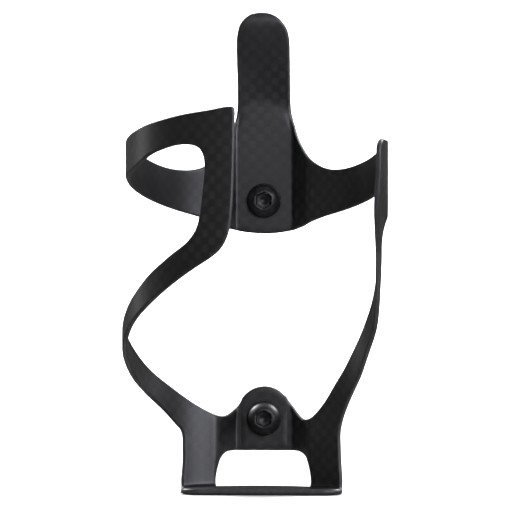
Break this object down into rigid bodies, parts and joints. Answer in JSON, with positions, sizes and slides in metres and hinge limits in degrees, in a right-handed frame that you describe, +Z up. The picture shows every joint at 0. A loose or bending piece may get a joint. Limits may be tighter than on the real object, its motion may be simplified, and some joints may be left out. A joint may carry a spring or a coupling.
{
  "type": "water bottle cage",
  "caption": "Side-entry bicycle bottle cage moulded in carbon laminate, with springy arms, a foot to carry the bottle and bolts to fix it to a frame tube.",
  "frame": {"origin": "on the back face of the lower pad, on the line between the bolts, 6 mm below the lower bolt's axis", "axes": "+Z up the frame tube, +Y out of the back pads into the tube, -Y towards the bottle, +X to the open side seen from the bottle"},
  "size_m": [0.0748, 0.0882, 0.14],
  "materials": {
    "carbon": "satin woven carbon-fibre laminate under a clear coat",
    "bolt": "black oxide steel, satin",
    "washer": "black oxide steel, satin"
  },
  "bodies": {
    "bracket": {"upper_pad": "carbon", "tongue": "carbon", "left_wing_root": "carbon", "right_wing_root": "carbon", "lower_pad": "carbon", "left_leg": "carbon", "right_leg": "carbon", "foot_shelf": "carbon"},
    "left_arm": {"left_wing": "carbon", "left_side_band": "carbon", "front_band": "carbon", "front_strap": "carbon", "left_front_sweep": "carbon", "left_rear_sweep": "carbon"},
    "right_arm": {"right_wing": "carbon", "right_shoulder": "carbon", "right_strap": "carbon", "right_sweep": "carbon"},
    "lower_washer_body": {"lower_washer": "washer"},
    "lower_bolt_body": {"lower_bolt": "bolt"},
    "upper_washer_body": {"upper_washer": "washer"},
    "upper_bolt_body": {"upper_bolt": "bolt"}
  },
  "joints": [
    {"name": "left_arm_flex", "type": "hinge", "parent": "bracket", "child": "left_arm", "pos_m": [-0.0181, -0.0112, 0.04], "axis": [0, 0, -1], "range_deg": [0, 6], "stiffness_Nm_per_rad": 6},
    {"name": "right_arm_flex", "type": "hinge", "parent": "bracket", "child": "right_arm", "pos_m": [0.0181, -0.0112, 0.04], "axis": [0, 0, 1], "range_deg": [0, 6], "stiffness_Nm_per_rad": 4},
    {"name": "lower_bolt_out", "type": "slide", "parent": "bracket", "child": "lower_washer_body", "axis": [0, -1, 0], "range_m": [0, 0.012]},
    {"name": "lower_bolt_turn", "type": "hinge", "parent": "lower_washer_body", "child": "lower_bolt_body", "pos_m": [0, 0, 0.006], "axis": [0, -1, 0], "range_deg": [0, 5400]},
    {"name": "upper_bolt_out", "type": "slide", "parent": "bracket", "child": "upper_washer_body", "axis": [0, -1, 0], "range_m": [0, 0.012]},
    {"name": "upper_bolt_turn", "type": "hinge", "parent": "upper_washer_body", "child": "upper_bolt_body", "pos_m": [0, 0, 0.07], "axis": [0, -1, 0], "range_deg": [0, 5400]}
  ],
  "couplings": [
    {"joint": "lower_bolt_turn", "follows": "lower_bolt_out", "rad_per_m": 7854},
    {"joint": "upper_bolt_turn", "follows": "upper_bolt_out", "rad_per_m": 7854}
  ]
}
